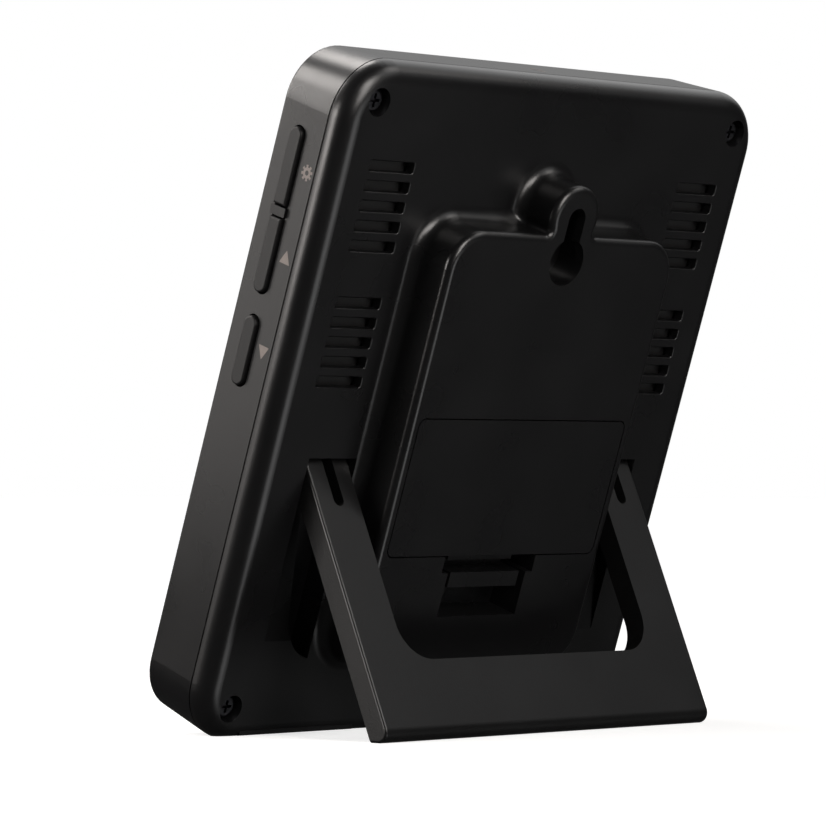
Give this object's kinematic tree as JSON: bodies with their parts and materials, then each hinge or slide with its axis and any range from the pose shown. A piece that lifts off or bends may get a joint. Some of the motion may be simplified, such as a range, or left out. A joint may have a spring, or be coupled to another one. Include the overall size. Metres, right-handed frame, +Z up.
{
  "type": "digital photo frame",
  "caption": "Upright black desktop display case with a raised back, keyhole hanger, battery door, side buttons, vents and a folding U-shaped stand.",
  "frame": {"origin": "on the table, under the middle of the case's overall box with the stand open", "axes": "+Z up from the table, -Y towards the viewer of the screen, +X to that viewer's right, where the buttons are"},
  "size_m": [0.1349, 0.0704, 0.1468],
  "materials": {
    "case_plastic": "fine satin moulded black",
    "stand_plastic": "fine matt moulded black",
    "button_plastic": "matt moulded black",
    "window": "smoked gloss",
    "lcd_glass": "gloss, switched off",
    "guide_acrylic": "clear moulded",
    "inner_plastic": "matt moulded",
    "circuit_board": "solder mask",
    "chip_body": "matt moulded",
    "connector_plastic": "moulded",
    "flex_film": "film",
    "speaker_body": "satin",
    "cell_jacket": "printed shrink jacket, plain",
    "spring_steel": "nickel plated",
    "screw_steel": "black zinc",
    "red_lead": "insulation",
    "black_lead": "insulation"
  },
  "bodies": {
    "case": {"battery_lower": "cell_jacket", "battery_upper": "cell_jacket", "board_screw_1": "screw_steel", "board_screw_2": "screw_steel", "board_screw_3": "screw_steel", "board_screw_4": "screw_steel", "bridge_contact": "spring_steel", "button_board": "circuit_board", "case_screw_1": "screw_steel", "case_screw_2": "screw_steel", "case_screw_3": "screw_steel", "case_screw_4": "screw_steel", "down_switch": "chip_body", "flex_connector": "connector_plastic", "front_lens": "window", "front_shell": "case_plastic", "lcd_flex": "flex_film", "lcd_holder": "inner_plastic", "lcd_panel": "lcd_glass", "light_guide": "guide_acrylic", "main_board": "circuit_board", "memory_chip": "chip_body", "negative_contact": "spring_steel", "negative_lead": "black_lead", "positive_contact": "spring_steel", "positive_lead": "red_lead", "processor": "chip_body", "rear_cover": "case_plastic", "settings_switch": "chip_body", "speaker": "speaker_body", "up_switch": "chip_body", "vent_screen_1": "inner_plastic", "vent_screen_2": "inner_plastic", "vent_screen_3": "inner_plastic", "vent_screen_4": "inner_plastic"},
    "stand_frame": {"stand": "stand_plastic"},
    "settings_key": {"settings_button": "button_plastic"},
    "up_key": {"up_button": "button_plastic"},
    "down_key": {"down_button": "button_plastic"},
    "door": {"battery_door": "case_plastic"},
    "latch": {"door_latch": "case_plastic"}
  },
  "joints": [
    {"name": "stand_hinge", "type": "hinge", "parent": "case", "child": "stand_frame", "pos_m": [0, 0.00043, 0.05764], "axis": [1, 0, 0], "range_deg": [-31.85, 0]},
    {"name": "battery_door_hinge", "type": "hinge", "parent": "case", "child": "door", "pos_m": [0, 0.01805, 0.06797], "axis": [1, 0, 0], "range_deg": [0, 40]},
    {"name": "door_latch_press", "type": "hinge", "parent": "door", "child": "latch", "pos_m": [0, 0.0006, 0.03633], "axis": [1, 0, 0], "range_deg": [0, 6], "stiffness_Nm_per_rad": 0.05},
    {"name": "settings_button_press", "type": "slide", "parent": "case", "child": "settings_key", "axis": [-1, 0, 0], "range_m": [0, 0.0008], "stiffness_N_per_m": 400},
    {"name": "up_button_press", "type": "slide", "parent": "case", "child": "up_key", "axis": [-1, 0, 0], "range_m": [0, 0.0008], "stiffness_N_per_m": 400},
    {"name": "down_button_press", "type": "slide", "parent": "case", "child": "down_key", "axis": [-1, 0, 0], "range_m": [0, 0.0008], "stiffness_N_per_m": 400}
  ]
}
